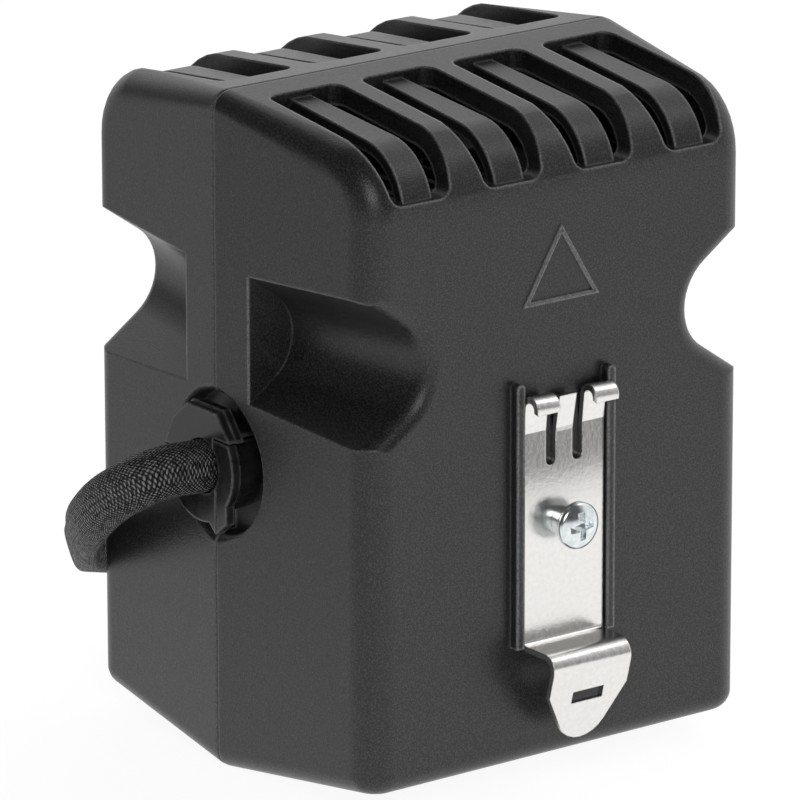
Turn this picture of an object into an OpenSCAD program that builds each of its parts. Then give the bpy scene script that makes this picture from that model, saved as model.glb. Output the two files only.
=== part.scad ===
// Convection heater for enclosures, clipped on a 35 mm top-hat rail.
// Two moulded half-shells meet on an upright seam and hold a finned core with ceramic
// heating stones. A sprung sheet clip sits on the rear face and a flat braided lead leaves
// the left side through a clamp on the seam.

/* [Housing] */
// Width at the seam
body_w = 69.8; // [66:0.1:80]
// Depth from the rear face to the front face
body_d = 64.8; // [60:0.1:76]
// Height at the roof ridge
body_h = 97.5; // [94:0.1:115]
// Wall of the shells
wall = 3; // [2.4:0.1:3.6]
// Draft of the sides in degrees
side_draft = 4; // [2:0.1:5]
// Slope of the roof in degrees
roof_draft = 5.7; // [3:0.1:8]
// Slope of the floor in degrees
floor_draft = 6.9; // [3:0.1:9]
// Radius of the upright and roof-side edges
edge_r = 4.5; // [4:0.1:6]
// Radius of the roof-side edges at the seam
seam_r = 2.8; // [2:0.1:4]
// Radius of the floor edges
floor_r = 2.75; // [1.5:0.05:3.5]
// Radius of the shoulders between the roof and the faces
shoulder_r = 10.5; // [9:0.1:12]
// Bevel along the seam
seam_bevel = 0.25; // [0.1:0.05:0.5]
// Height of the lip that centres the shells
lip_h = 1.5; // [1:0.1:2.5]
// Clearance between moulded pieces that fit together
fit_gap = 0.1; // [0.05:0.05:0.2]

/* [Roof grille] */
// Windows in each half of the roof
window_count = 4; // [2:1:4]
// Distance between windows
window_pitch = 15.6; // [14:0.1:15.9]
// Window width on the roof
window_top_w = 12.4; // [10.5:0.1:12.8]
// Window width at the face
window_low_w = 10.2; // [8.5:0.1:11]
// Half-width of the rib along the ridge
ridge_half = 4.8; // [4:0.1:6]
// Lower edge of the windows below the ridge
window_drop = 10.4; // [9:0.1:14]
// Corner radius of the windows
window_r = 2; // [1:0.1:3]
// Bar width at the ridge
bar_top_w = 3.4; // [3:0.1:5]
// Bar width at the face
bar_low_w = 5; // [3.5:0.1:6]
// Depth of the bars below the roof surface
bar_recess = 1.1; // [0.6:0.1:1.2]

/* [Finger notches] */
// Height of the notches
notch_z = 63.8; // [60:0.1:66]
// Radius of the trough
notch_r = 7.45; // [6:0.05:8]
// Rise of the flanks in degrees
notch_flank = 35; // [25:1:45]
// Distance from the seam to the end wall
notch_end = 7.3; // [6:0.1:10]
// Turn of the trough towards the middle in degrees
notch_turn = 9.3; // [5:0.1:12]
// Rounding where the trough meets the face
notch_round = 2.5; // [1.5:0.1:3]

/* [Cable clamp] */
// Height of the clamp
clamp_z = 44.6; // [42:0.1:47]
// Radius of the front jaw
jaw_front_r = 8.2; // [7.8:0.1:8.6]
// Radius of the rear jaw
jaw_rear_r = 7.7; // [7.3:0.1:8.2]
// Thickness of the clamp's front plate
clamp_t = 1.5; // [1:0.1:2]
// How far the plate stands out of the seam edge
clamp_proud = 2.3; // [1.6:0.1:4]
// Radius of the collar behind the plate
clamp_r = 6.8; // [6.4:0.1:7.1]
// Distance from the seam to the parting of the jaws
split_y = 3.2; // [2.8:0.1:3.6]
// Half-width of the cap's flat top
cap_flat = 3.4; // [2.4:0.1:4]
// Half-width of the cap at its rear end
cap_side = 6.5; // [5.5:0.1:7]
// Radius of the pocket round the clamp
pocket_r = 10; // [9.6:0.1:11]
// Depth of the pocket
pocket_depth = 3.5; // [2.5:0.1:5]
// Rounding of the pocket mouth
pocket_round = 1.6; // [1:0.1:2]
// Radius of the neck through the pocket floor
neck_r = 6; // [5.5:0.1:6.6]
// Thickness of the pocket floor
pocket_floor = 2.5; // [2:0.1:3]
// Radius of the inner flange
flange_r = 7.5; // [7.2:0.1:9]
// Thickness of the inner flange
flange_t = 2; // [1.5:0.1:3]

/* [Rail clip] */
// Sheet thickness
clip_t = 0.9; // [0.6:0.1:1.2]
// Sheet width
clip_w = 14; // [12:0.1:14.4]
// Height of the rail's middle above the seam's lowest point
rail_z = 38.9; // [36:0.1:41]
// Gap between the hooks and the shelf for the rail
rail_gap = 35.2; // [35.1:0.1:36.2]
// Radius of the hooks at mid sheet
hook_r = 1.4; // [1.2:0.05:2]
// Stand-off of the release tab from the face
tab_q = 7.15; // [6.2:0.05:8]
// Radius at the head of the tab
bend_r = 1.8; // [1.4:0.1:2.4]
// Radius at the foot of the plate
foot_r = 1; // [0.7:0.1:1.5]
// Length of the release tab below the shelf
tab_l = 13.6; // [12:0.1:16]
// Width of the middle tongue
tongue_w = 2.9; // [2:0.1:4]
// Width of the slots beside the tongue
tongue_slot = 1.7; // [1:0.1:2.2]
// Length of the tongue
tongue_l = 9.2; // [6:0.1:11]
// Outward lean of the hooks in degrees
hook_lean = 6; // [0:1:10]
// Outward lean of the tongue in degrees
tongue_lean = 10; // [0:1:14]
// Inward lean of the release tab in degrees
tab_lean = 15; // [0:1:18]
// Diameter of the screw head
head_d = 6.6; // [5.5:0.1:8]
// Height of the screw head
head_h = 2; // [1.6:0.1:3]
// Diameter of the neck under the head
stem_d = 4.4; // [3.6:0.1:5]
// Length of the neck between the clip and the head
stem_l = 2.4; // [1:0.1:3]
// Diameter of the screw shank
shank_d = 2.9; // [2.5:0.1:3.2]
// Length of the screw shank
shank_l = 11; // [8:0.1:12]
// Height of the guide ribs beside the clip
guide_h = 1.5; // [1:0.1:2]
// Width of the guide ribs
guide_w = 1.3; // [1:0.1:2]

/* [Heating core] */
// Width of the heat sink
sink_w = 36; // [34:0.1:38]
// Depth of the heat sink over its fins
sink_d = 35; // [30:0.1:36]
// Length of the heat sink
sink_l = 52; // [50:0.1:53]
// Height of the lower end of the heat sink
sink_z = 24; // [23:0.1:25]
// Fins on each side
fin_count = 9; // [5:1:9]
// Distance between fins
fin_pitch = 4; // [3.5:0.1:4.2]
// Thickness of a fin
fin_t = 1.2; // [0.8:0.1:1.5]
// Wall round the channel
sink_wall = 2.2; // [1.6:0.1:3]
// Stone thickness
stone_t = 2.5; // [2:0.1:3]
// Stone width
stone_w = 16; // [12:0.1:18]
// Electrode thickness
electrode_t = 0.45; // [0.3:0.05:0.6]
// Electrode width
electrode_w = 22; // [20:0.1:23]
// Film thickness
film_t = 0.25; // [0.15:0.05:0.4]
// Length of the channel seals
plug_l = 3; // [2:0.1:4]
// Bars between the stones
stone_bar = 1.2; // [0.8:0.1:2]

/* [Lead] */
// Width of the flat braided sleeve
lead_w = 7.4; // [6:0.1:7.6]
// Thickness of the sleeve
lead_t = 3.8; // [3:0.1:4.4]
// Height of the lead in the clamp
lead_z = 44.7; // [44.2:0.1:45.2]
// Diameter of the hole for the lead
lead_hole = 7.8; // [7.7:0.1:8.4]
// Diameter of the insulated wires
wire_d = 2.4; // [1.8:0.1:2.4]
// Lean of the sleeve in its bend in degrees
lead_lean = 17; // [0:1:30]

/* [Hidden] */

// Overlap of cutting shapes past the faces that they cut
over = 1;
// Smallest inside radius of the mouldings
round_min = 0.5;
// Facets of the rounded housing corners
corner_fn = 32;

half_d = body_d / 2;
shoulder_y = shoulder_r - half_d;
shoulder_z = body_h + tan(roof_draft) * shoulder_y - shoulder_r / cos(roof_draft);
window_z = body_h - window_drop;
// Bars end inside the walls that carry them
bar_root = 1;
bar_skin = 0.15;

notch_x = body_w / 2 - tan(side_draft) * notch_end;
notch_arc = 90 - notch_flank;
notch_reach = 12;

clamp_face = body_w / 2 + clamp_proud;
plate_back = clamp_face - clamp_t;
plate_y = 0.5;
plate_z = clamp_z + 0.2;
pocket_x = body_w / 2 - pocket_depth;
floor_x = pocket_x - pocket_floor;
pocket_wall = 2.5;
bore_r = lead_hole / 2;
// The cap meets the rear jaw above the hole and the front jaw beside it
cap_z = lead_z + bore_r + 0.7;
cap_low = lead_z + bore_r / 3;
cap_top = plate_z + jaw_front_r;
cap_step = split_y - 0.6;
cap_gap = 0.3;
// Wider foot of the cap behind the plate
cap_foot_l = 0.9;
cap_foot_grow = 0.3;
// Keel at the foot of the parting, and heel of the rear jaw beside it
keel_half = 2.1;
keel_drop = 1.8;
keel_base = plate_z - 7.5;
heel_side = 5.6;
heel_top = plate_z - 4.8;

shelf_z = rail_z - rail_gap / 2 - clip_t / 2;
hook_z = rail_z + rail_gap / 2 - hook_r + clip_t / 2;
hook_top = hook_z + hook_r + clip_t / 2;
hook_end = -15;
// The sheet leans outwards above this height, and the tongue from a little lower
lean_z = hook_top - 5.9;
kink_z = lean_z - 0.5;
tongue_top = hook_top - 1;
release_w = clip_w - 0.6;
plate_q = clip_t / 2;
tab_z = shelf_z + clip_t / 2 - tab_l;
tip_r = 4.3;
tip_z = tab_z + tip_r;
tip_taper = 30;
tab_shoulder = 3;
tab_slot_w = 5.4;
tab_slot_h = 1.8;
tab_slot_z = tip_z + 2.35;
screw_gap = 0.15;
screw_z = rail_z - 0.7;
guide_low = shelf_z + 0.2;
guide_top = hook_top + 1.7;
boss_r = 4;
boss_l = shank_l + 1.5;

channel_w = electrode_w + 2 * film_t + 4 * fit_gap;
channel_d = stone_t + 2 * electrode_t + 2 * film_t + 2 * fit_gap;
block_half = channel_d / 2 + sink_wall;
sink_top = sink_z + sink_l;
stack_z = sink_z + plug_l + fit_gap;
stack_l = sink_l - 2 * plug_l - 2 * fit_gap;
stone_l = (stack_l - 4 * stone_bar) / 3;
tab_w = 6.3;
tab_x = 6;
tab_drop = 8.5;
crimp_w = 7.8;
crimp_d = 2.8;
crimp_l = 7;
barrel_r = 1.9;
barrel_l = 6;
crimp_z = sink_z - tab_drop - 0.5;
electrode_y = stone_t / 2 + electrode_t / 2;
lead_start = floor_x - flange_t - 1;

vent_count = 6;
vent_pitch = 9;
vent_l = 16;
vent_w = 3.5;

cradle_w = 6;
cradle_t = 3;
cradle_grip = 6;
cradle_reach = 8;

lip_inset = 1.8;

snap_z = [20, 84];
snap_w = 6;
snap_t = 1.6;
snap_l = 8;
snap_root = 16;
snap_nub = 0.9;
snap_nub_l = 2;

// Plain raised triangle on the rear face
mark_apex = 80.2;
mark_base = 69.4;
mark_half = 6.5;
mark_line = 0.6;
mark_h = 0.25;

ferrule_l = 10;
ferrule_r = 1;
shrink_l = 16;
tail_l = 16;

// Route of the lead in the housing's frame: out of the clamp, round the corner and along the floor
lead_in = 27;
lead_lie = lead_t / 2 + fit_gap;
lead_route = [
    [-lead_in, 0, lead_z], [-32, 0, lead_z], [-37, 0, lead_z], [-40, 0.1, 44.8], [-42.7, 0.4, 44.8],
    [-45.4, 1.8, 43.9], [-47.1, 5.2, 41.6], [-47.4, 8.5, 39.3], [-46.9, 12, 36.7], [-45.2, 16.5, 33.6],
    [-42.7, 21, 30.8], [-40, 25, 28.3], [-37.2, 29.2, 25.9], [-34.3, 33.3, 23.9], [-29.6, 36.4, 22],
    [-24.8, 38.8, 20.2], [-19.5, 40.8, 17.6], [-13.5, 42.6, 14.6], [-7, 44, 11.4], [0, 45.2, 8],
    [8, 46.2, 5], [17, 47, 3], [26, 47.4, lead_lie], [35, 47.6, lead_lie], [44, 47.8, lead_lie],
    [53, 48, lead_lie], [61, 48.8, lead_lie], [68.6, 51.2, lead_lie], [74.8, 55.6, lead_lie],
    [78.6, 61.6, lead_lie], [78.9, 68.4, lead_lie], [75.6, 74.2, lead_lie], [69.8, 77.8, lead_lie],
    [62.6, 78.8, lead_lie], [55, 77.9, lead_lie], [47, 76.7, lead_lie]];
// Points of the route between which the sleeve takes its lean and then turns flat
lean_from = 4;
lean_to = 9;
flat_from = 15;
flat_to = 22;

// Shrink tube and free wire ends go on from the end of the sleeve
lead_end = lead_route[len(lead_route) - 1];
tail_run = direction(lead_route, len(lead_route) - 1);
tail_side = cross([0, 0, 1], tail_run);
function tail(run, aside, z) = [lead_end[0], lead_end[1], z] + run * tail_run + aside * tail_side;
shrink_route = [tail(0, 0, lead_lie), tail(shrink_l / 2, 0, lead_lie), tail(shrink_l, 0, lead_lie)];
function tail_wire(side) = [
    tail(shrink_l, side * 1.4, lead_lie), tail(shrink_l + 3, side * 1.4, lead_lie),
    tail(shrink_l + 7, side * 1.9, 1.6), tail(shrink_l + tail_l * 0.7, side * 2.8, 1.3),
    tail(shrink_l + tail_l, side * 3.6, 1.3)];
live_end = tail_wire(-1);
neutral_end = tail_wire(1);

// Inner wires run below the core and rise beside it to the clamp
wire_z = crimp_z - barrel_l + 0.5;
wire_low = 6.8;
neutral_rise = sink_w / 2 + wire_d / 2 + 0.8;
live_rise = neutral_rise + wire_d + 0.2;
live_wire = [
    [-tab_x, -electrode_y, wire_z], [-tab_x - 0.2, -electrode_y, wire_z - 1.5],
    [-tab_x - 1.4, -1.6, wire_low + 0.4], [-tab_x - 4, -1.8, wire_low], [-tab_x - 8, -1.8, wire_low],
    [-live_rise + 4.6, -1.8, wire_low + 0.4], [-live_rise + 1.6, -1.8, wire_low + 2.2],
    [-live_rise + 0.2, -1.6, 13], [-live_rise, -1.4, 20], [-live_rise, -1, 28], [-live_rise, -0.6, 35],
    [-live_rise, -0.3, lead_z - 5], [-live_rise - 0.8, -0.1, lead_z - 2.3],
    [-(live_rise + lead_in) / 2, 0, lead_z - 1.3], [-lead_in, 0, lead_z - 1.3]];
neutral_wire = [
    [tab_x, electrode_y, wire_z], [tab_x - 0.2, electrode_y, wire_z - 1.5],
    [tab_x - 1.4, 1.6, wire_low + 0.4], [2, 1.8, wire_low], [-6, 1.8, wire_low], [-14, 1.8, wire_low],
    [-neutral_rise + 2, 1.8, wire_low + 0.4], [-neutral_rise, 1.8, wire_low + 2.2],
    [-neutral_rise - 0.4, 1.7, 13], [-neutral_rise - 0.4, 1.6, 20], [-neutral_rise - 0.2, 1.6, 28],
    [-neutral_rise, 1.4, 36], [-neutral_rise, 1, lead_z - 3], [-neutral_rise - 1.2, 0.5, lead_z + 0.3],
    [-(neutral_rise + lead_in) / 2, 0, lead_z + 1.3], [-lead_in, 0, lead_z + 1.3]];

function arc(c, r, a0, a1, n = 8) =
    [for (i = [0:n]) let (a = a0 + (a1 - a0) * i / n) c + r * [cos(a), sin(a)]];
function reverse(list) = [for (i = [len(list) - 1:-1:0]) list[i]];
function unit(v) = v / norm(v);

// Half-profile of a rounded disc: a tube of radius minor round a circle of radius major
function bead(major, minor) =
    concat([[0, -minor]], arc([major, 0], minor, -90, 90, 16), [[0, minor]]);

// Sizes of the housing's surface moved inwards by inset
function seam_half(inset) = body_w / 2 - inset / cos(side_draft);
function ridge_z(inset) = body_h - inset / cos(roof_draft);
function keel_z(inset) = inset / cos(floor_draft);
function side_r(inset) = max(edge_r - inset, round_min);
function low_r(inset) = max(floor_r - inset, round_min / 2);
function top_r(inset) = max(shoulder_r - inset, side_r(inset) + round_min);

function seam_outline(inset) =
    let (w = seam_half(inset), t = ridge_z(inset), k = keel_z(inset), b = low_r(inset),
        e = max(seam_r - inset, round_min))
    concat(
        arc([w - e, t - e], e, 0, 90),
        arc([e - w, t - e], e, 90, 180),
        arc([b - w, k + b], b, 180, 270),
        arc([w - b, k + b], b, 270, 360));

module in_place() {
    translate([0, half_d + clip_t, -rail_z]) children();
}

// Polygon in X and Z, extruded along Y from y0 to y1
module across(y0, y1) {
    translate([0, y1, 0]) rotate([90, 0, 0]) linear_extrude(y1 - y0) children();
}

// Polygon in Y and Z, extruded along X, centred
module along(length) {
    rotate([90, 0, 90]) linear_extrude(length, center = true) children();
}

// Revolved profile with its axis along -X, outwards from the cable side
module cable_side() {
    translate([0, 0, clamp_z]) rotate([0, -90, 0]) children();
}

module seam_slab(inset, y0, y1) {
    across(y0, y1) polygon(seam_outline(inset));
}

module housing_corners(inset) {
    e = side_r(inset);
    b = low_r(inset);
    t = top_r(inset);
    w = seam_half(inset);
    y_low = inset - half_d + e;
    x_low = w + tan(side_draft) * y_low - e / cos(side_draft);
    z_low = keel_z(inset) + (b + sin(floor_draft) * (e - b - y_low)) / cos(floor_draft);
    y_top = inset - half_d + t;
    x_top = w + tan(side_draft) * y_top - e / cos(side_draft);
    z_top = ridge_z(inset) + tan(roof_draft) * y_top - t / cos(roof_draft);
    for (side = [-1, 1]) {
        translate([side * x_low, y_low, z_low])
            rotate_extrude($fn = corner_fn) polygon(bead(e - b, b));
        translate([side * x_top, y_top, z_top]) rotate([0, 0, -side * side_draft]) rotate([0, 90, 0])
            rotate_extrude($fn = corner_fn) polygon(bead(t - e, e));
    }
}

module half_outside() {
    hull() {
        seam_slab(0, -2 * seam_bevel, -seam_bevel);
        seam_slab(seam_bevel, -seam_bevel, 0);
        housing_corners(0);
    }
}

module half_inside() {
    difference() {
        hull() {
            seam_slab(wall, 0, over);
            housing_corners(wall);
        }
        notches(wall);
        cable_side() cylinder(r = pocket_r + pocket_wall, h = body_w);
    }
}

// Section of a finger notch with its flanks; grow moves its surface outwards
function notch_profile(grow) =
    let (r = notch_r + grow,
        x = r * cos(notch_arc) + notch_reach,
        z = r * sin(notch_arc) + x / tan(notch_arc))
    concat([[-notch_reach, -z]], arc([0, 0], r, -notch_arc, notch_arc, 14), [[-notch_reach, z]]);

function notch_ring(y, grow) =
    let (x = notch_x - tan(notch_turn) * (-notch_end - y))
    [for (p = notch_profile(grow)) [p[0] - x, y, p[1] + notch_z]];

// Rings of the rounding between the trough and the face, from inside to outside
function notch_flare() =
    let (r = notch_round)
    concat(
        [for (a = [0:90 / 6:90]) notch_ring(r - half_d - r * sin(a), r - r * cos(a))],
        [notch_ring(-half_d - over, r)]);

// Closed skin over rings that all have the same number of points
module loft(rings) {
    n = len(rings[0]);
    last = len(rings) - 1;
    sides = [for (i = [0:last - 1]) for (k = [0:n - 1])
        let (a = i * n + k, b = i * n + (k + 1) % n)
        each [[a, a + n, b + n], [a, b + n, b]]];
    ends = [[for (k = [0:n - 1]) k], [for (k = [n - 1:-1:0]) last * n + k]];
    polyhedron([for (ring = rings) each ring], concat(sides, ends), convexity = 6);
}

module notches(grow = 0) {
    rear = grow > 0 ? [notch_ring(-half_d - over, grow)] : notch_flare();
    for (side = [0, 1])
        mirror([side, 0, 0]) loft(concat([notch_ring(grow - notch_end, grow)], rear));
}

function window_x(i) = (i - (window_count - 1) / 2) * window_pitch;

// Plan of a window or bar that tapers from the ridge to the face, with rounded ridge corners
function taper_plan(top_w, low_w, y_top, r) =
    let (slope = (top_w - low_w) / 2 / (half_d - ridge_half),
        y_low = -half_d - over,
        w_top = top_w / 2 + slope * (ridge_half - y_top),
        w_low = low_w / 2 - slope * over)
    concat(
        arc([w_top - r, -y_top - r], r, 0, 90),
        arc([r - w_top, -y_top - r], r, 90, 180),
        [[-w_low, y_low], [w_low, y_low]]);

// Windows widen from the face up to the top of the shoulder
function window_face() =
    let (w = window_low_w / 2, z = window_z + window_r, top = window_top_w / 2 + bar_skin,
        wide_z = shoulder_z + shoulder_r * cos(roof_draft))
    concat(
        arc([window_r - w, z], window_r, 180, 270),
        arc([w - window_r, z], window_r, 270, 360),
        [[top, wide_z], [top, body_h + over], [-top, body_h + over], [-top, wide_z]]);

module windows() {
    for (i = [0:window_count - 1])
        translate([window_x(i), 0, 0]) intersection() {
            linear_extrude(body_h + over) polygon(taper_plan(window_top_w, window_top_w, ridge_half, window_r));
            across(-half_d - over, 0) polygon(window_face());
        }
}

// Line at a depth below the roof, from the ridge over the shoulder to below the windows
function wrap_line(inset) =
    let (y = bar_root - ridge_half,
        r = shoulder_r - inset,
        z = window_z - bar_root,
        rise = max(z - shoulder_z, 0))
    concat([[y, ridge_z(inset) + tan(roof_draft) * y]],
        arc([shoulder_y, shoulder_z], r, 90 + roof_draft, 180 - asin(rise / r), 10),
        rise > 0 ? [] : [[inset - half_d, z]]);

module bars() {
    for (i = [0:window_count - 1])
        translate([window_x(i), 0, 0]) intersection() {
            linear_extrude(body_h + over)
                polygon(taper_plan(bar_top_w, bar_low_w, ridge_half - 2 * bar_root, round_min));
            along(window_top_w) polygon(concat(wrap_line(bar_recess), reverse(wrap_line(wall - bar_skin))));
        }
}

// Long hole with round ends along Y
module slot_shape(length, width) {
    polygon(concat(
        arc([0, length / 2 - width / 2], width / 2, 0, 180),
        arc([0, width / 2 - length / 2], width / 2, 180, 360)));
}

module floor_vents() {
    depth = wall + tan(floor_draft) * half_d + over;
    for (i = [0:vent_count - 1])
        translate([(i - (vent_count - 1) / 2) * vent_pitch, -half_d / 2, -over])
            linear_extrude(depth + over) slot_shape(vent_l, vent_w);
}

module pocket_cut() {
    profile = concat(
        [[0, pocket_x], [pocket_r, pocket_x]],
        arc([pocket_r + pocket_round, body_w / 2 - pocket_round], pocket_round, 180, 90, 6),
        [[pocket_r + pocket_round, body_w / 2 + over], [0, body_w / 2 + over]]);
    cable_side() {
        rotate_extrude() polygon(profile);
        translate([0, 0, floor_x - over]) cylinder(r = neck_r + fit_gap, h = pocket_depth + pocket_floor);
    }
}

module pocket_back() {
    cable_side() translate([0, 0, -over]) cylinder(r = pocket_r + 2 * pocket_wall, h = floor_x + over);
}

// Corner brackets that hold the four edges of the heat sink
module cradles() {
    x0 = sink_w / 2 - cradle_w + 2;
    x1 = sink_w / 2 + fit_gap;
    y0 = -half_d + wall / 2;
    y_stop = -sink_d / 2 - fit_gap;
    for (side = [0, 1])
        for (end = [0, 1])
            mirror([side, 0, 0]) translate([0, 0, sink_z + sink_l / 2]) mirror([0, 0, end])
                translate([0, 0, -sink_l / 2]) {
                    translate([x0, y0, -cradle_t])
                        cube([cradle_w, y_stop + cradle_reach - y0, cradle_t - fit_gap]);
                    translate([x1, y0, -cradle_t])
                        cube([x0 + cradle_w - x1, y_stop + cradle_reach - y0, cradle_t + cradle_grip]);
                    translate([x0, y0, -cradle_t])
                        cube([cradle_w, y_stop - y0, cradle_t + cradle_grip]);
                }
}

module seam_lip() {
    difference() {
        across(-lip_h, lip_h) difference() {
            polygon(seam_outline(lip_inset));
            polygon(seam_outline(wall));
        }
        cable_side() cylinder(r = pocket_r + pocket_wall + fit_gap, h = body_w);
    }
}

module lip_rebate() {
    difference() {
        across(-lip_h - fit_gap, over) polygon(seam_outline(lip_inset - fit_gap));
        cable_side() cylinder(r = pocket_r + pocket_wall, h = body_w);
    }
}

// Snap arms stand clear of the drafted wall that they pass
snap_x = seam_half(wall) - tan(side_draft) * snap_l - fit_gap;

module snap_places() {
    for (side = [0, 1])
        for (z = snap_z)
            mirror([side, 0, 0]) translate([snap_x, 0, z - snap_w / 2]) children();
}

// Arms of the front shell, seen from its own side: they reach past the seam
module snap_arms() {
    snap_places() {
        translate([-snap_t, -snap_root, 0]) cube([snap_t, snap_root + snap_l, snap_w]);
        translate([-snap_t, snap_l - snap_nub_l, 0]) cube([snap_t + snap_nub, snap_nub_l, snap_w]);
    }
}

module snap_pockets() {
    snap_places()
        translate([-over, -snap_l - fit_gap, -fit_gap])
            cube([over + snap_nub + 2 * fit_gap, snap_nub_l + 2 * fit_gap, snap_w + 2 * fit_gap]);
}

// What both shells share, as the rear half
module half_shell() {
    difference() {
        half_outside();
        half_inside();
        pocket_back();
        notches();
        windows();
        floor_vents();
        pocket_cut();
    }
    bars();
    cradles();
}

// Ribs beside the clip, with round heads
module guides() {
    r = guide_w / 2;
    x = clip_w / 2 + 2 * fit_gap + r;
    for (side = [-1, 1])
        across(-half_d - guide_h, over - half_d) translate([side * x, 0])
            polygon(concat(arc([0, guide_top - r], r, 0, 180), [[-r, guide_low], [r, guide_low]]));
}

// Raised outline of a triangle with nothing in it
module mark() {
    slope = atan2(mark_half, mark_apex - mark_base);
    apex = mark_apex - mark_line / sin(slope);
    base = mark_base + mark_line;
    half = (apex - base) * tan(slope);
    across(-half_d - mark_h, wall / 2 - half_d) difference() {
        polygon([[-mark_half, mark_base], [mark_half, mark_base], [0, mark_apex]]);
        polygon([[-half, base], [half, base], [0, apex]]);
    }
}

module rear_shell() color("#3a3b3d") in_place() {
    difference() {
        union() {
            half_shell();
            seam_lip();
            guides();
            mark();
            translate([0, wall / 2 - half_d, screw_z]) rotate([-90, 0, 0]) cylinder(r = boss_r, h = boss_l);
        }
        translate([0, -half_d - over, screw_z]) rotate([-90, 0, 0])
            cylinder(d = shank_d + fit_gap, h = shank_l + over);
        snap_pockets();
    }
}

module front_shell() color("#3a3b3d") in_place() mirror([0, 1, 0]) {
    difference() {
        half_shell();
        lip_rebate();
    }
    snap_arms();
}

// One face of the bent sheet, at a distance from its middle, from the tab to the hooks
function clip_face(o) =
    let (bend = [tab_q - bend_r, shelf_z - bend_r],
        tab = bend + (bend_r + o) * [cos(tab_lean), -sin(tab_lean)],
        drop = (tab_z - over - tab[1]) / cos(tab_lean),
        hook_q = plate_q + (hook_z + hook_r * sin(hook_lean) - lean_z) * tan(hook_lean) + hook_r * cos(hook_lean))
    concat(
        [tab + drop * [sin(tab_lean), cos(tab_lean)]],
        arc(bend, bend_r + o, -tab_lean, 90),
        arc([plate_q + foot_r, shelf_z + foot_r], foot_r - o, 270, 180),
        [[plate_q + o, lean_z - o * tan(hook_lean / 2)]],
        arc([hook_q, hook_z], hook_r - o, 180 - hook_lean, hook_end, 12));

function clip_outline() =
    let (w = clip_w / 2, t = release_w / 2, z = tip_z + tab_shoulder)
    concat(
        [[-w, hook_top + over], [-w, shelf_z + clip_t], [-t, shelf_z], [-t, z]],
        arc([0, tip_z], tip_r, 180 + tip_taper, 360 - tip_taper),
        [[t, z], [t, shelf_z], [w, shelf_z + clip_t], [w, hook_top + over]]);

// Middle tongue, bent outwards at the kink; its root lies in the plate
module tongue() {
    skin = 0.02;
    lean = (tongue_top - kink_z) * tan(tongue_lean);
    points = [
        [clip_t / 2, kink_z - over], [clip_t - skin, kink_z], [clip_t - skin + lean, tongue_top],
        [skin + lean, tongue_top], [skin, kink_z]];
    along(tongue_w) polygon([for (p = points) [-half_d - p[0], p[1]]]);
}

module din_clip() color("#c9ccce") in_place() {
    strip = concat(clip_face(clip_t / 2), reverse(clip_face(-clip_t / 2)));
    slot_x = tongue_w / 2 + tongue_slot / 2;
    slot_z = hook_top - tongue_l - tongue_slot / 2;
    reach = tab_q + clip_t + over;
    difference() {
        intersection() {
            along(clip_w + 2 * over) polygon([for (p = strip) [-half_d - p[0], p[1]]]);
            across(-half_d - reach, 0) polygon(clip_outline());
        }
        for (side = [-1, 1])
            across(-half_d - reach, over) translate([side * slot_x, 0]) polygon(concat(
                arc([0, slot_z], tongue_slot / 2, 180, 360),
                [[tongue_slot / 2, hook_top + over], [-tongue_slot / 2, hook_top + over]]));
        translate([-slot_x, -half_d - reach, kink_z + over / 20]) cube([2 * slot_x, reach + over, hook_top]);
        translate([-tab_slot_w / 2, -half_d - reach, tab_slot_z - tab_slot_h / 2])
            cube([tab_slot_w, reach - clip_t - over, tab_slot_h]);
        translate([0, over - half_d, screw_z]) rotate([90, 0, 0])
            cylinder(d = shank_d + 2 * screw_gap, h = clip_t + 2 * over);
    }
    tongue();
}

module clip_screw() color("#b9bdc0") in_place() {
    rim = head_h * 0.55;
    dome = head_h - rim;
    edge = 0.3;
    cap_r = (head_d * head_d / 4 + dome * dome) / (2 * dome);
    top = stem_l + head_h;
    recess_l = 3.9;
    recess_w = 1;
    recess_depth = 1.3;
    recess_turn = 5;
    translate([0, -half_d - clip_t, screw_z]) rotate([90, 0, 0]) difference() {
        union() {
            rotate_extrude() polygon(concat(
                [[0, 0], [stem_d / 2, 0], [stem_d / 2, stem_l], [head_d / 2 - edge, stem_l], [head_d / 2, stem_l + edge]],
                arc([0, top - cap_r], cap_r, asin((cap_r - dome) / cap_r), 90)));
            translate([0, 0, -shank_l]) cylinder(d = shank_d, h = shank_l + over);
        }
        for (turn = [recess_turn, recess_turn + 90])
            rotate(turn) translate([-recess_l / 2, -recess_w / 2, top - recess_depth])
                cube([recess_l, recess_w, head_h]);
    }
}

// Polygon in Y and Z as a plate on the cable side, between two distances from the middle
module side_plate(x0, x1) {
    translate([-(x0 + x1) / 2, 0, 0]) along(x1 - x0) children();
}

// Turned form behind the clamp's plate: flange, neck and collar
module clamp_core() {
    cable_side() rotate_extrude() polygon([
        [0, floor_x - flange_t - fit_gap], [flange_r, floor_x - flange_t - fit_gap],
        [flange_r, floor_x - fit_gap], [neck_r, floor_x - fit_gap],
        [neck_r, pocket_x], [clamp_r, pocket_x],
        [clamp_r, plate_back + clamp_t / 2], [0, plate_back + clamp_t / 2]]);
}

module lead_bore() {
    translate([-lead_start + over, 0, lead_z]) rotate([0, -90, 0]) cylinder(r = bore_r, h = body_w);
}

function cap_outline(grow = 0) = [
    [-cap_side - grow, cap_z], [-cap_flat - grow / 2, cap_top + grow], [cap_flat + grow / 2, cap_top + grow],
    [cap_side + 0.4 + grow, cap_z + 0.7], [plate_y + jaw_front_r + grow, cap_low],
    [-cap_step, cap_low], [-cap_step, cap_z]];

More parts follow.
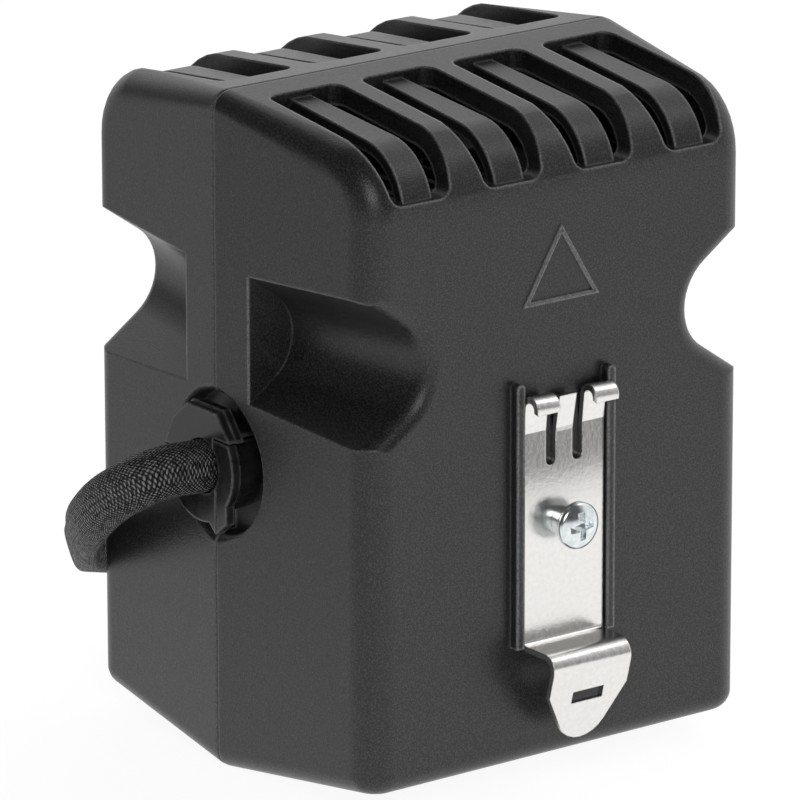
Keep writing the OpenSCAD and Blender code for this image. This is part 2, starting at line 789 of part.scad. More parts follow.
module clamp_cap() color("#1c1d1f") in_place() difference() {
    wide = pocket_r + over;
    union() {
        intersection() {
            clamp_core();
            side_plate(0, body_w) polygon([
                [-wide, cap_z], [-wide, cap_z + wide], [wide, cap_z + wide], [wide, cap_low],
                [-cap_step, cap_low], [-cap_step, cap_z]]);
        }
        side_plate(plate_back, clamp_face) polygon(cap_outline());
        side_plate(plate_back - cap_foot_l, plate_back + clamp_t / 4) polygon(cap_outline(cap_foot_grow));
    }
    lead_bore();
}

// Outline of the jaws' plate: a disc with a keel on the parting and a heel beside it
module jaw_plate(r) {
    polygon(arc([plate_y, plate_z], r, 0, 350, 35));
    polygon([
        [-split_y - keel_half, keel_base], [-split_y, keel_base - keel_drop],
        [keel_half - split_y, keel_base], [-split_y, plate_z]]);
    polygon([[-heel_side, keel_base], [-split_y, keel_base], [-split_y, heel_top], [-heel_side, heel_top]]);
}

module clamp_jaw(r, region) {
    difference() {
        union() {
            intersection() {
                clamp_core();
                side_plate(0, body_w) polygon(region);
            }
            side_plate(plate_back, clamp_face) intersection() {
                jaw_plate(r);
                polygon(region);
            }
        }
        lead_bore();
    }
}

module clamp_jaw_rear() color("#1c1d1f") in_place() {
    wide = pocket_r + over;
    low = clamp_z - wide;
    y = -split_y - fit_gap / 2;
    clamp_jaw(jaw_rear_r, [
        [-wide, low], [y, low], [y, lead_z], [-cap_step - fit_gap, lead_z],
        [-cap_step - fit_gap, cap_z - cap_gap], [-wide, cap_z - cap_gap]]);
}

module clamp_jaw_front() color("#1c1d1f") in_place() {
    wide = pocket_r + over;
    low = clamp_z - wide;
    y = fit_gap / 2 - split_y;
    clamp_jaw(jaw_front_r, [[y, low], [wide, low], [wide, cap_low - fit_gap], [y, cap_low - fit_gap]]);
}

module heat_sink() color("#b4b8bb") in_place() translate([0, 0, sink_z]) linear_extrude(sink_l) {
    difference() {
        union() {
            square([sink_w, 2 * block_half], center = true);
            for (i = [0:fin_count - 1])
                translate([(i - (fin_count - 1) / 2) * fin_pitch, 0]) square([fin_t, sink_d], center = true);
        }
        square([channel_w, channel_d], center = true);
    }
}

module insulating_film() color("#c98f3c") in_place() translate([0, 0, stack_z]) linear_extrude(stack_l)
    difference() {
        square([channel_w - 2 * fit_gap, channel_d - 2 * fit_gap], center = true);
        square([channel_w - 2 * fit_gap - 2 * film_t, channel_d - 2 * fit_gap - 2 * film_t], center = true);
    }

module electrode(side) {
    translate([0, side * electrode_y, 0]) across(-electrode_t / 2, electrode_t / 2) {
        translate([-electrode_w / 2, stack_z]) square([electrode_w, stack_l]);
        translate([side * tab_x - tab_w / 2, sink_z - tab_drop]) square([tab_w, tab_drop + plug_l + over]);
    }
}

module electrode_rear() color("#d8d8d4") in_place() electrode(-1);
module electrode_front() color("#d8d8d4") in_place() electrode(1);

module stone(i) {
    z = stack_z + stone_bar + i * (stone_l + stone_bar);
    translate([-stone_w / 2, -stone_t / 2, z + fit_gap]) cube([stone_w, stone_t, stone_l - 2 * fit_gap]);
}

module ptc_stone_lower() color("#6f6a66") in_place() stone(0);
module ptc_stone_middle() color("#6f6a66") in_place() stone(1);
module ptc_stone_upper() color("#6f6a66") in_place() stone(2);

module stone_frame() color("#e6e1d4") in_place() {
    depth = stone_t - 2 * fit_gap;
    across(-depth / 2, depth / 2) difference() {
        translate([-electrode_w / 2, stack_z]) square([electrode_w, stack_l]);
        for (i = [0:2])
            translate([-stone_w / 2 - fit_gap, stack_z + stone_bar + i * (stone_l + stone_bar)])
                square([stone_w + 2 * fit_gap, stone_l]);
    }
}

module end_plug() {
    translate([fit_gap - channel_w / 2, fit_gap - channel_d / 2, 0])
        cube([channel_w - 2 * fit_gap, channel_d - 2 * fit_gap, plug_l]);
}

module end_plug_top() color("#a8553a") in_place() translate([0, 0, sink_top - plug_l]) end_plug();

module end_plug_bottom() color("#a8553a") in_place() difference() {
    translate([0, 0, sink_z]) end_plug();
    for (side = [-1, 1])
        translate([side * tab_x - tab_w / 2 - fit_gap, side * electrode_y - electrode_t / 2 - fit_gap, 0])
            cube([tab_w + 2 * fit_gap, electrode_t + 2 * fit_gap, body_h]);
}

// Push-on terminal: a flat box on the tab and a barrel on the wire
module crimp(side) {
    slot_w = tab_w + 2 * fit_gap;
    slot_t = electrode_t + fit_gap;
    translate([side * tab_x, side * electrode_y, crimp_z]) difference() {
        union() {
            translate([-crimp_w / 2, -crimp_d / 2, 0]) cube([crimp_w, crimp_d, crimp_l]);
            translate([0, 0, -barrel_l]) cylinder(r = barrel_r, h = barrel_l + over);
        }
        translate([-slot_w / 2, -slot_t / 2, 0.5]) cube([slot_w, slot_t, crimp_l]);
        translate([0, 0, -barrel_l - over]) cylinder(d = wire_d + fit_gap, h = barrel_l + over);
    }
}

module crimp_live() color("#cfc9b8") in_place() crimp(-1);
module crimp_neutral() color("#cfc9b8") in_place() crimp(1);

function direction(path, i) = unit(path[min(i + 1, len(path) - 1)] - path[max(i - 1, 0)]);

// Section of a cord: an oval of the given width and thickness
function oval(width, thickness, n) =
    [for (k = [0:n - 1]) let (a = 360 * (k + 0.5) / n) [width / 2 * cos(a), thickness / 2 * sin(a)]];

// Roll of the sleeve along its route: upright at the clamp, leaning in the bend, flat on the floor
function lead_roll(i) =
    i < lean_to ? -lead_lean * max(i - lean_from, 0) / (lean_to - lean_from) :
    -lead_lean - (90 - lead_lean) * min(max(i - flat_from, 0) / (flat_to - flat_from), 1);

// Section carried along a path with its width level, or with the roll of the sleeve
module swept(path, section, level, rolling = false) {
    loft([for (i = [0:len(path) - 1])
        let (t = direction(path, i),
            side = unit(cross(t, level)),
            up = cross(side, t),
            roll = rolling ? lead_roll(i) : 90,
            wide = up * cos(roll) + side * sin(roll),
            thin = cross(t, wide))
        [for (s = section) path[i] + s[0] * wide + s[1] * thin]]);
}

module wire(path) {
    swept(path, oval(wire_d, wire_d, 8), [0, 1, 0]);
}

module free_wire(path) {
    swept(path, oval(wire_d, wire_d, 8), [0, 0, 1]);
}

module wire_live() color("#2a2a2c") in_place() wire(live_wire);
module wire_neutral() color("#2a2a2c") in_place() wire(neutral_wire);

module lead_sleeve() color("#26272a") in_place()
    swept(lead_route, oval(lead_w, lead_t, 12), [0, 0, 1], true);

module lead_shrink() color("#1a1a1c") in_place()
    swept(shrink_route, oval(lead_w + 1, lead_t + 1, 12), [0, 0, 1]);

module wire_end_live() color("#2a2a2c") in_place() free_wire(live_end);
module wire_end_neutral() color("#2a2a2c") in_place() free_wire(neutral_end);

module ferrule(path) {
    end = path[len(path) - 1];
    run = direction(path, len(path) - 1);
    translate(end) rotate([0, 0, atan2(run[1], run[0])]) rotate([0, 90, 0]) {
        cylinder(r = wire_d / 2 + 0.3, h = ferrule_l / 3);
        cylinder(r = ferrule_r, h = ferrule_l);
    }
}

module ferrule_live() color("#c8c9c6") in_place() ferrule(live_end);
module ferrule_neutral() color("#c8c9c6") in_place() ferrule(neutral_end);

rear_shell();
front_shell();
din_clip();
clip_screw();
clamp_cap();
clamp_jaw_rear();
clamp_jaw_front();
heat_sink();
insulating_film();
electrode_rear();
electrode_front();
ptc_stone_lower();
ptc_stone_middle();
ptc_stone_upper();
stone_frame();
end_plug_top();
end_plug_bottom();
crimp_live();
crimp_neutral();
wire_live();
wire_neutral();
lead_sleeve();
lead_shrink();
wire_end_live();
wire_end_neutral();
ferrule_live();
ferrule_neutral();
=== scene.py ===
"""Looks of a rail-mounted enclosure heater: textured housing, plated clip, clamp and braided lead."""

import math

import bmesh
import bpy
from mathutils import Matrix, Vector


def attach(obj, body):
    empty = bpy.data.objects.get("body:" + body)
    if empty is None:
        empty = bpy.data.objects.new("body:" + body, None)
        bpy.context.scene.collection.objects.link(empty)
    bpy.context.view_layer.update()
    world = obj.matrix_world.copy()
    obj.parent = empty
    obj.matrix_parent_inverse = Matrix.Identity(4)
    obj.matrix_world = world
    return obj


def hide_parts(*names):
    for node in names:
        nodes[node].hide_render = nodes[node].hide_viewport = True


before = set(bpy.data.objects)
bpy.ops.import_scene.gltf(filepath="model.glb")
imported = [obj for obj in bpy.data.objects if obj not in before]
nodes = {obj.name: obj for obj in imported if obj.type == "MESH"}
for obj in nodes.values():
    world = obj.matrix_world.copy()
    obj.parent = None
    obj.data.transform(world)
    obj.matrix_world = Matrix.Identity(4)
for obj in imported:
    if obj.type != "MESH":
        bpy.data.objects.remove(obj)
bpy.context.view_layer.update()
scene = bpy.context.scene

MM = 0.001

# The housing's own frame: seam at y = 0, lowest seam point at z = 0
HOUSING = Vector((0.0, 33.3, -38.9)) * MM
HOUSING_H = 97.5 * MM

# Camera of the photograph, in the housing's frame
CAMERA_AZIMUTH = math.radians(36.904)
CAMERA_ELEVATION = math.radians(17.157)
CAMERA_ROLL = math.radians(-0.091)
CAMERA_DISTANCE = 1160.5 * MM
CAMERA_LENS = 373.1
CAMERA_SENSOR = 36.0
CAMERA_NEAR = 0.05
CAMERA_FAR = 20.0
CAMERA_SHIFT_RIGHT = -2.453 * MM
CAMERA_SHIFT_UP = -1.481 * MM


def in_housing(x, y, z):
    """A point of the housing's frame, given in millimetres, in the row frame."""
    return Vector((x, y, z)) * MM + HOUSING


# Camera

def photo_camera():
    right = Vector((math.cos(CAMERA_AZIMUTH), -math.sin(CAMERA_AZIMUTH), 0.0))
    flat = math.cos(CAMERA_ELEVATION)
    rise = math.sin(CAMERA_ELEVATION)
    back = Vector((-math.sin(CAMERA_AZIMUTH) * flat, -math.cos(CAMERA_AZIMUTH) * flat, rise))
    up = back.cross(right)
    middle = HOUSING + Vector((0.0, 0.0, HOUSING_H / 2))
    target = middle + right * CAMERA_SHIFT_RIGHT + up * CAMERA_SHIFT_UP
    rolled_right = right * math.cos(CAMERA_ROLL) + up * math.sin(CAMERA_ROLL)
    rolled_up = up * math.cos(CAMERA_ROLL) - right * math.sin(CAMERA_ROLL)
    data = bpy.data.cameras.new("photo_camera")
    data.lens = CAMERA_LENS
    data.sensor_width = CAMERA_SENSOR
    data.clip_start = CAMERA_NEAR
    data.clip_end = CAMERA_FAR
    camera = bpy.data.objects.new("photo_camera", data)
    turn = Matrix((rolled_right, rolled_up, back)).transposed()
    camera.matrix_world = Matrix.Translation(target + back * CAMERA_DISTANCE) @ turn.to_4x4()
    scene.collection.objects.link(camera)
    scene.camera = camera


photo_camera()


# Materials

# Radii to which edges are rounded, and the reach of the painted highlight along them
HOUSING_EDGE = 0.5 * MM
CLAMP_EDGE = 0.4 * MM
CLIP_EDGE = 0.25 * MM
SCREW_EDGE = 0.2 * MM
EDGE_HIGHLIGHT_REACH = 0.5 * MM
# Depths of fine bumps
GRAIN_DEPTH = 0.04 * MM
FINE_DEPTH = 0.02 * MM
MOTTLE_DEPTH = 0.06 * MM
YARN_DEPTH = 0.4 * MM
# Share of open rays inside a solid at which the painted edge highlight starts, and at which it is brightest
EDGE_HIGHLIGHT_START = 0.97
EDGE_HIGHLIGHT_FULL = 0.65
# Samples of the nodes that look for edges
BEVEL_SAMPLES = 6
EDGE_HIGHLIGHT_SAMPLES = 8
# Sockets of a colour mix, which share their names with those of other mixes
MIX_FIRST = 6
MIX_SECOND = 7
MIX_RESULT = 2


class Shader:
    """A material with a principled shader, and short calls to add and link its nodes."""

    def __init__(self, name, **sockets):
        self.material = bpy.data.materials.new(name)
        self.material.use_nodes = True
        self.tree = self.material.node_tree
        self.surface = self.tree.nodes["Principled BSDF"]
        for socket, value in sockets.items():
            self.surface.inputs[socket.replace("_", " ")].default_value = value

    def add(self, kind, **settings):
        node = self.tree.nodes.new("ShaderNode" + kind)
        for key, value in settings.items():
            if hasattr(node, key):
                setattr(node, key, value)
            else:
                node.inputs[key.replace("_", " ")].default_value = value
        return node

    def link(self, source, output, target, socket):
        self.tree.links.new(source.outputs[output], target.inputs[socket])

    def place(self):
        """Coordinates in metres in the row frame."""
        return self.add("TexCoord")

    def math(self, operation, first, second=None):
        """A sum on one or two values, each a number or a node with the name of its output."""
        node = self.add("Math", operation=operation)
        for socket, value in enumerate((first, second)):
            if isinstance(value, tuple):
                self.tree.links.new(value[0].outputs[value[1]], node.inputs[socket])
            elif value is not None:
                node.inputs[socket].default_value = value
        return (node, "Value")

    def noise(self, scale, detail=2.0, roughness=0.5):
        node = self.add("TexNoise", Scale=scale, Detail=detail, Roughness=roughness)
        self.link(self.place(), "Object", node, "Vector")
        return node

    def tint(self, texture, low, high, dark, light, output="Fac"):
        """Base colour from dark to light as the texture goes from low to high."""
        ramp = self.add("ValToRGB")
        ramp.color_ramp.elements[0].position = low
        ramp.color_ramp.elements[0].color = (*dark, 1.0)
        ramp.color_ramp.elements[1].position = high
        ramp.color_ramp.elements[1].color = (*light, 1.0)
        self.link(texture, output, ramp, "Fac")
        self.link(ramp, "Color", self.surface, "Base Color")
        return ramp

    def gloss(self, texture, low, high, output="Fac"):
        """Roughness from low to high with the texture."""
        spread = self.add("MapRange", To_Min=low, To_Max=high)
        self.link(texture, output, spread, "Value")
        self.link(spread, "Result", self.surface, "Roughness")

    def relief(self, texture, depth, strength=1.0, output="Fac", edge=0.0):
        """Fine bumps of the given depth, over edges rounded to the given radius."""
        bump = self.add("Bump", Strength=strength, Distance=depth)
        self.link(texture, output, bump, "Height")
        if edge:
            rounded = self.add("Bevel", samples=BEVEL_SAMPLES, Radius=edge)
            self.link(rounded, "Normal", bump, "Normal")
        self.link(bump, "Normal", self.surface, "Normal")
        return bump

    def painted_edge_highlights(self, ramp, light, texture):
        """Painted highlight: lighter base colour along the outer edges, broken up by the texture."""
        inside = self.add("AmbientOcclusion", inside=True, only_local=True, samples=EDGE_HIGHLIGHT_SAMPLES,
                          Distance=EDGE_HIGHLIGHT_REACH)
        near = self.add("MapRange", interpolation_type="SMOOTHSTEP", From_Min=EDGE_HIGHLIGHT_START, From_Max=EDGE_HIGHLIGHT_FULL)
        self.link(inside, "AO", near, "Value")
        patchy = self.add("MapRange", From_Min=0.35, From_Max=0.6, To_Min=0.4)
        self.link(texture, "Fac", patchy, "Value")
        share = self.math("MULTIPLY", (near, "Result"), (patchy, "Result"))
        mix = self.add("Mix", data_type="RGBA")
        self.link(share[0], "Value", mix, "Factor")
        self.link(ramp, "Color", mix, MIX_FIRST)
        mix.inputs[MIX_SECOND].default_value = (*light, 1.0)
        self.link(mix, MIX_RESULT, self.surface, "Base Color")


# Bow of the clip's plate from below the screw to the crease under the hooks: heights in the row frame, depth
BOW_LOW = -2.4 * MM
BOW_HIGH = 12.8 * MM
BOW_DEPTH = 2.7 * MM


def grey(level):
    return (level, level, level)


def housing_plastic():
    """Near-black plastic with the fine sand texture of an eroded mould."""
    shader = Shader("housing_plastic", Specular_IOR_Level=0.5)
    grain = shader.noise(4200.0, detail=1.0, roughness=0.6)
    ramp = shader.tint(grain, 0.42, 0.72, grey(0.006), grey(0.04))
    # Painted highlight: lighter base colour along the outer edges of the housing
    shader.painted_edge_highlights(ramp, grey(0.19), grain)
    shader.gloss(shader.noise(1500.0), 0.3, 0.4)
    shader.relief(grain, GRAIN_DEPTH, 0.8, edge=HOUSING_EDGE)
    return shader.material


def clamp_plastic():
    """Smoother black plastic of the cable clamp."""
    shader = Shader("clamp_plastic", Specular_IOR_Level=0.5)
    cloud = shader.noise(700.0, detail=2.0)
    ramp = shader.tint(cloud, 0.3, 0.7, grey(0.007), grey(0.013))
    # Painted highlight: lighter base colour along the outer edges of the clamp
    shader.painted_edge_highlights(ramp, grey(0.08), cloud)
    shader.gloss(cloud, 0.22, 0.34)
    shader.relief(cloud, FINE_DEPTH, 0.4, edge=CLAMP_EDGE)
    return shader.material


def nickel():
    """Plated spring sheet with a mottled sheen, bowed below the crease under its hooks."""
    shader = Shader("clip_nickel", Metallic=1.0)
    cloud = shader.noise(1400.0, detail=3.0, roughness=0.65)
    shader.tint(cloud, 0.3, 0.75, (0.72, 0.71, 0.69), (0.79, 0.78, 0.765))
    shader.gloss(cloud, 0.16, 0.28)
    rise = shader.add("MapRange", From_Min=BOW_LOW, From_Max=BOW_HIGH)
    split = shader.add("SeparateXYZ")
    shader.link(shader.place(), "Object", split, "Vector")
    shader.link(split, "Z", rise, "Value")
    curve = shader.math("POWER", (rise, "Result"), 2.0)
    bow = shader.math("MULTIPLY", curve, -BOW_DEPTH)
    rounded = shader.add("Bevel", samples=BEVEL_SAMPLES, Radius=CLIP_EDGE)
    bowed = shader.add("Bump", Strength=1.0, Distance=1.0)
    shader.link(bow[0], "Value", bowed, "Height")
    shader.link(rounded, "Normal", bowed, "Normal")
    mottled = shader.relief(cloud, MOTTLE_DEPTH, 0.4)
    shader.link(bowed, "Normal", mottled, "Normal")
    return shader.material


def zinc():
    """Bright, slightly bluish plating of the screw."""
    shader = Shader("screw_zinc", Metallic=1.0)
    cloud = shader.noise(800.0, detail=3.0)
    shader.tint(cloud, 0.3, 0.7, (0.6, 0.65, 0.66), (0.8, 0.83, 0.84))
    shader.gloss(cloud, 0.12, 0.26)
    shader.relief(cloud, FINE_DEPTH, 0.3, edge=SCREW_EDGE)
    return shader.material


def simple(name, dark, light, scale, rough_low, rough_high, metallic=0.0):
    """A plain material with a mottled colour and gloss."""
    shader = Shader(name, Metallic=metallic)
    cloud = shader.noise(scale, detail=3.0)
    shader.tint(cloud, 0.3, 0.7, dark, light)
    shader.gloss(cloud, rough_low, rough_high)
    shader.relief(cloud, FINE_DEPTH, 0.4)
    return shader.material


def braid_yarn():
    """Slanted strands that pass over and under each other, from the map of cells on the sleeve."""
    shader = Shader("braid_yarn", Specular_IOR_Level=0.4)
    cells = shader.add("UVMap", uv_map="weave")
    split = shader.add("SeparateXYZ")
    shader.link(cells, "UV", split, "Vector")
    first = shader.math("ADD", (split, "X"), (split, "Y"))
    second = shader.math("SUBTRACT", (split, "X"), (split, "Y"))
    humps = []
    counts = []
    for strand in (first, second):
        part = shader.math("FRACT", strand)
        humps.append(shader.math("SINE", shader.math("MULTIPLY", part, math.pi)))
        counts.append(shader.math("FLOOR", strand))
    total = shader.math("ADD", counts[0], counts[1])
    odd = shader.math("FLOORED_MODULO", total, 2.0)
    even = shader.math("SUBTRACT", 1.0, odd)
    heights = []
    for on_top, across, along in ((odd, humps[0], humps[1]), (even, humps[1], humps[0])):
        crown = shader.math("ADD", shader.math("MULTIPLY", along, 0.5), 0.5)
        heights.append(shader.math("MULTIPLY", on_top, shader.math("MULTIPLY", across, crown)))
    height = shader.math("ADD", heights[0], heights[1])
    fleck = shader.add("MapRange", From_Min=0.3, From_Max=0.7, To_Min=0.5, To_Max=1.15)
    shader.link(shader.noise(1700.0, detail=1.0), "Fac", fleck, "Value")
    uneven = shader.math("MULTIPLY", height, (fleck, "Result"))
    # Base colour follows the weave's height: painted shade in the gaps between strands and a painted
    # highlight on their crowns
    ramp = shader.tint(uneven[0], 0.3, 0.9, grey(0.0015), grey(0.24), output="Value")
    ramp.color_ramp.interpolation = "EASE"
    shader.gloss(uneven[0], 0.75, 0.3, output="Value")
    shader.relief(height[0], YARN_DEPTH, output="Value")
    return shader.material


LOOKS = {
    housing_plastic(): ["rear_shell", "front_shell"],
    clamp_plastic(): ["clamp_cap", "clamp_jaw_rear", "clamp_jaw_front"],
    nickel(): ["din_clip"],
    zinc(): ["clip_screw"],
    simple("sink_black", grey(0.012), grey(0.022), 600.0, 0.4, 0.6, metallic=0.6): ["heat_sink"],
    simple("film_amber", (0.3, 0.12, 0.02), (0.42, 0.2, 0.04), 300.0, 0.2, 0.35): ["insulating_film"],
    simple("electrode_sheet", grey(0.6), grey(0.72), 500.0, 0.25, 0.4, metallic=1.0):
        ["electrode_rear", "electrode_front"],
    simple("stone_ceramic", grey(0.1), grey(0.18), 900.0, 0.5, 0.7):
        ["ptc_stone_lower", "ptc_stone_middle", "ptc_stone_upper"],
    simple("frame_moulding", (0.6, 0.56, 0.48), (0.72, 0.69, 0.62), 700.0, 0.4, 0.6): ["stone_frame"],
    simple("plug_silicone", grey(0.014), grey(0.022), 500.0, 0.45, 0.65):
        ["end_plug_top", "end_plug_bottom"],
    simple("crimp_tin", (0.55, 0.52, 0.44), (0.72, 0.69, 0.6), 700.0, 0.2, 0.35, metallic=1.0):
        ["crimp_live", "crimp_neutral"],
    simple("wire_silicone", grey(0.014), grey(0.022), 900.0, 0.4, 0.55):
        ["wire_live", "wire_neutral", "wire_end_live", "wire_end_neutral"],
    simple("shrink_tube", grey(0.01), grey(0.016), 600.0, 0.38, 0.5): ["lead_shrink"],
    simple("ferrule_tin", grey(0.6), grey(0.75), 900.0, 0.18, 0.32, metallic=1.0):
        ["ferrule_live", "ferrule_neutral"],
}


def dress(piece, look):
    piece.data.materials.clear()
    piece.data.materials.append(look)


for look, names in LOOKS.items():
    for name in names:
        dress(nodes[name], look)


# Angles in degrees above which an edge stays sharp, the screw's rim being rounder, and a gap to weld
SHARP_ANGLE = 28.0
SCREW_SHARP_ANGLE = 65.0
WELD_GAP = 0.002 * MM


def soften(piece, angle):
    """Welds the faces of a solid for shading and smooths it where faces meet at less than the angle."""
    weld = piece.modifiers.new("weld", "WELD")
    weld.merge_threshold = WELD_GAP
    for face in piece.data.polygons:
        face.use_smooth = True
    sharp = piece.modifiers.new("sharp", "EDGE_SPLIT")
    sharp.split_angle = math.radians(angle)
    weighted = piece.modifiers.new("weighted", "WEIGHTED_NORMAL")
    weighted.keep_sharp = True


for name, piece in nodes.items():
    soften(piece, SCREW_SHARP_ANGLE if name == "clip_screw" else SHARP_ANGLE)


# Braided lead

LEAD_W = 7.4 * MM
LEAD_T = 3.8 * MM
LEAD_LEAN = 17.0
LEAD_LIE = 2.0
LEAD_ROUTE = [
    (-27, 0, 44.7), (-32, 0, 44.7), (-37, 0, 44.7), (-40, 0.1, 44.8), (-42.7, 0.4, 44.8),
    (-45.4, 1.8, 43.9), (-47.1, 5.2, 41.6), (-47.4, 8.5, 39.3), (-46.9, 12, 36.7), (-45.2, 16.5, 33.6),
    (-42.7, 21, 30.8), (-40, 25, 28.3), (-37.2, 29.2, 25.9), (-34.3, 33.3, 23.9), (-29.6, 36.4, 22),
    (-24.8, 38.8, 20.2), (-19.5, 40.8, 17.6), (-13.5, 42.6, 14.6), (-7, 44, 11.4), (0, 45.2, 8),
    (8, 46.2, 5), (17, 47, 3), (26, 47.4, LEAD_LIE), (35, 47.6, LEAD_LIE), (44, 47.8, LEAD_LIE),
    (53, 48, LEAD_LIE), (61, 48.8, LEAD_LIE), (68.6, 51.2, LEAD_LIE), (74.8, 55.6, LEAD_LIE),
    (78.6, 61.6, LEAD_LIE), (78.9, 68.4, LEAD_LIE), (75.6, 74.2, LEAD_LIE), (69.8, 77.8, LEAD_LIE),
    (62.6, 78.8, LEAD_LIE), (55, 77.9, LEAD_LIE), (47, 76.7, LEAD_LIE)]
# Points of the route between which the sleeve takes its lean and then turns flat
LEAN_FROM = 4
LEAN_TO = 9
FLAT_FROM = 15
FLAT_TO = 22
# Cells of the weave round the sleeve and along it, and the steps of the mesh
CELLS_AROUND = 32
CELL_LENGTH = 0.6 * MM
LEAD_SIDES = 44
LEAD_STEP = 0.9 * MM
# Above 2, the section is flatter on its faces than an ellipse
LEAD_SQUARENESS = 3.2


def lead_roll(place):
    """Roll in degrees at a place of the route: upright, leaning in the bend, flat on the floor."""
    if place < LEAN_TO:
        return -LEAD_LEAN * max(place - LEAN_FROM, 0.0) / (LEAN_TO - LEAN_FROM)
    turned = min(max(place - FLAT_FROM, 0.0) / (FLAT_TO - FLAT_FROM), 1.0)
    return -LEAD_LEAN - (90.0 - LEAD_LEAN) * turned


def rounded(value):
    """Cosine or sine of a section's angle, drawn towards the corners."""
    return math.copysign(abs(value) ** (2.0 / LEAD_SQUARENESS), value)


def spline(points, step):
    """Points about a step apart on a smooth curve through the given ones, each with its place in the list."""
    count = len(points)
    line = []
    for i in range(count - 1):
        before = points[max(i - 1, 0)]
        start = points[i]
        end = points[i + 1]
        after = points[min(i + 2, count - 1)]
        parts = max(1, round((end - start).length / step))
        for k in range(parts):
            t = k / parts
            a = (end - before) * 0.5
            b = (after - start) * 0.5
            bend = start * (2 * t**3 - 3 * t**2 + 1) + a * (t**3 - 2 * t**2 + t)
            line.append((bend + end * (3 * t**2 - 2 * t**3) + b * (t**3 - t**2), i + t))
    line.append((points[-1], count - 1))
    return line


def braided_lead():
    points = [in_housing(*p) for p in LEAD_ROUTE]
    line = spline(points, LEAD_STEP)
    level = Vector((0.0, 0.0, 1.0))
    mesh = bmesh.new()
    cells = mesh.loops.layers.uv.new("weave")
    rings = []
    travelled = []
    for i, (centre, place) in enumerate(line):
        ahead = line[min(i + 1, len(line) - 1)][0]
        behind = line[max(i - 1, 0)][0]
        travelled.append(travelled[-1] + (centre - behind).length if i else 0.0)
        along = (ahead - behind).normalized()
        side = along.cross(level).normalized()
        up = side.cross(along)
        roll = math.radians(lead_roll(place))
        wide = up * math.cos(roll) + side * math.sin(roll)
        thin = along.cross(wide)
        ring = []
        for k in range(LEAD_SIDES):
            angle = 2 * math.pi * k / LEAD_SIDES
            out_wide = wide * (LEAD_W / 2 * rounded(math.cos(angle)))
            out_thin = thin * (LEAD_T / 2 * rounded(math.sin(angle)))
            ring.append(mesh.verts.new(centre + out_wide + out_thin))
        rings.append(ring)
    for i in range(len(rings) - 1):
        for k in range(LEAD_SIDES):
            after = (k + 1) % LEAD_SIDES
            face = mesh.faces.new((rings[i][k], rings[i][after], rings[i + 1][after], rings[i + 1][k]))
            spots = ((i, k), (i, k + 1), (i + 1, k + 1), (i + 1, k))
            for loop, (row, column) in zip(face.loops, spots):
                loop[cells].uv = (travelled[row] / CELL_LENGTH, column * CELLS_AROUND / LEAD_SIDES)
    mesh.faces.new(reversed(rings[0]))
    mesh.faces.new(rings[-1])
    bmesh.ops.recalc_face_normals(mesh, faces=mesh.faces)
    data = bpy.data.meshes.new("braided_lead")
    mesh.to_mesh(data)
    mesh.free()
    for face in data.polygons:
        face.use_smooth = True
    lead = bpy.data.objects.new("braided_lead", data)
    scene.collection.objects.link(lead)
    dress(lead, braid_yarn())
    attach(lead, "root")
    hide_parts("lead_sleeve")


braided_lead()


# Floor, world and lamps

# The pale floor as reflections see it: its glow near the part and far from it, and how much more
# or less it glows towards the right of the camera and the left
FLOOR_NEAR = 1.1
FLOOR_FAR = 0.85
FLOOR_FADE = 0.42
FLOOR_SIDE = (0.64, -0.77, 0.0)
FLOOR_REACH = 0.2
FLOOR_LEFT = 0.8
FLOOR_RIGHT = 1.16
# The floor as the camera sees it: its own white, and what takes the shadow
FLOOR_SEEN = 0.92
FLOOR_SHADE = 0.2
FLOOR_HALF = 4.0


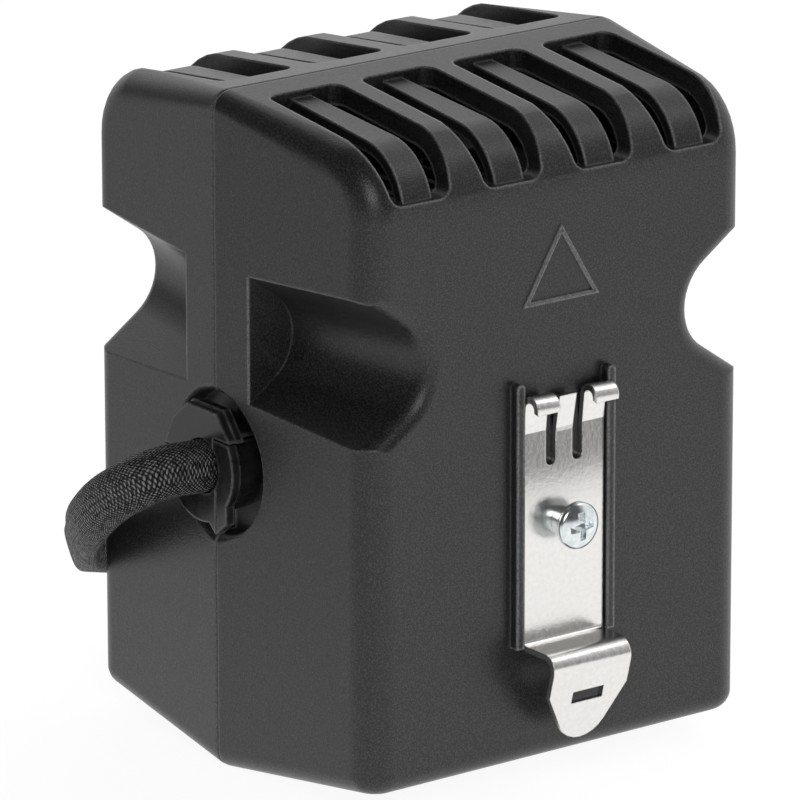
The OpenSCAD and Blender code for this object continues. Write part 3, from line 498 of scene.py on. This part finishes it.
def studio_floor():
    data = bpy.data.meshes.new("floor")
    half = FLOOR_HALF
    corners = [(-half, -half, 0), (half, -half, 0), (half, half, 0), (-half, half, 0)]
    data.from_pydata(corners, [], [(0, 1, 2, 3)])
    floor = bpy.data.objects.new("floor", data)
    floor.location = (0.0, 0.0, HOUSING.z)
    scene.collection.objects.link(floor)
    shader = Shader("floor_white")
    far = shader.add("VectorMath", operation="LENGTH")
    shader.link(shader.place(), "Object", far, 0)
    fade = shader.add("MapRange", interpolation_type="SMOOTHSTEP", From_Min=0.0, From_Max=FLOOR_FADE,
                      To_Min=FLOOR_NEAR, To_Max=FLOOR_FAR)
    shader.link(far, "Value", fade, "Value")
    aside = shader.add("VectorMath", operation="DOT_PRODUCT")
    aside.inputs[1].default_value = FLOOR_SIDE
    shader.link(shader.place(), "Object", aside, 0)
    tilt = shader.add("MapRange", From_Min=-FLOOR_REACH, From_Max=FLOOR_REACH,
                      To_Min=FLOOR_LEFT, To_Max=FLOOR_RIGHT)
    shader.link(aside, "Value", tilt, "Value")
    strength = shader.math("MULTIPLY", (fade, "Result"), (tilt, "Result"))
    sheet = shader.add("Emission", Color=(1.0, 1.0, 1.0, 1.0))
    shader.link(strength[0], "Value", sheet, "Strength")
    glow = shader.add("Emission", Color=(1.0, 1.0, 1.0, 1.0), Strength=FLOOR_SEEN)
    shadow = shader.add("BsdfDiffuse", Color=(*grey(FLOOR_SHADE), 1.0))
    seen = shader.add("AddShader")
    shader.link(glow, "Emission", seen, 0)
    shader.link(shadow, "BSDF", seen, 1)
    ray = shader.add("LightPath")
    pick = shader.add("MixShader")
    shader.link(ray, "Is Camera Ray", pick, 0)
    shader.link(sheet, "Emission", pick, 1)
    shader.link(seen, "Shader", pick, 2)
    shader.link(pick, "Shader", shader.tree.nodes["Material Output"], "Surface")
    data.materials.append(shader.material)


# The studio round the part: a bright backdrop behind it and to its right, dim on the other sides
BACKDROP_SIDE = (0.9, 0.43, 0.0)
BACKDROP_EDGE = (0.05, 0.5)
BACKDROP = 1.05
DIM = 0.1


def studio_world():
    world = bpy.data.worlds.new("studio")
    world.use_nodes = True
    scene.world = world
    tree = world.node_tree
    place = tree.nodes.new("ShaderNodeTexCoord")
    behind = tree.nodes.new("ShaderNodeVectorMath")
    behind.operation = "DOT_PRODUCT"
    behind.inputs[1].default_value = BACKDROP_SIDE
    tree.links.new(place.outputs["Generated"], behind.inputs[0])
    level = tree.nodes.new("ShaderNodeMapRange")
    level.interpolation_type = "SMOOTHSTEP"
    level.inputs["From Min"].default_value = BACKDROP_EDGE[0]
    level.inputs["From Max"].default_value = BACKDROP_EDGE[1]
    level.inputs["To Min"].default_value = DIM
    level.inputs["To Max"].default_value = BACKDROP
    tree.links.new(behind.outputs["Value"], level.inputs["Value"])
    sky = tree.nodes["Background"]
    sky.inputs["Color"].default_value = (1.0, 1.0, 1.0, 1.0)
    tree.links.new(level.outputs["Result"], sky.inputs["Strength"])


# Lamps, each a square aimed at the part: place, side and power
LAMP_TARGET = Vector((0.0, 0.03, 0.0))
LAMPS = {
    "front_light": ((-0.5, -0.78, 0.5), 0.45, 2.6),
    "right_light": ((0.62, -0.3, 0.8), 0.3, 0.5),
}


def softbox(name, place, side, power):
    data = bpy.data.lights.new(name, "AREA")
    data.shape = "SQUARE"
    data.size = side
    data.energy = power
    lamp = bpy.data.objects.new(name, data)
    lamp.location = place
    lamp.rotation_mode = "QUATERNION"
    lamp.rotation_quaternion = (LAMP_TARGET - Vector(place)).to_track_quat("-Z", "Y")
    scene.collection.objects.link(lamp)


studio_floor()
studio_world()
for name, (place, side, power) in LAMPS.items():
    softbox(name, place, side, power)

scene.view_settings.view_transform = "Standard"
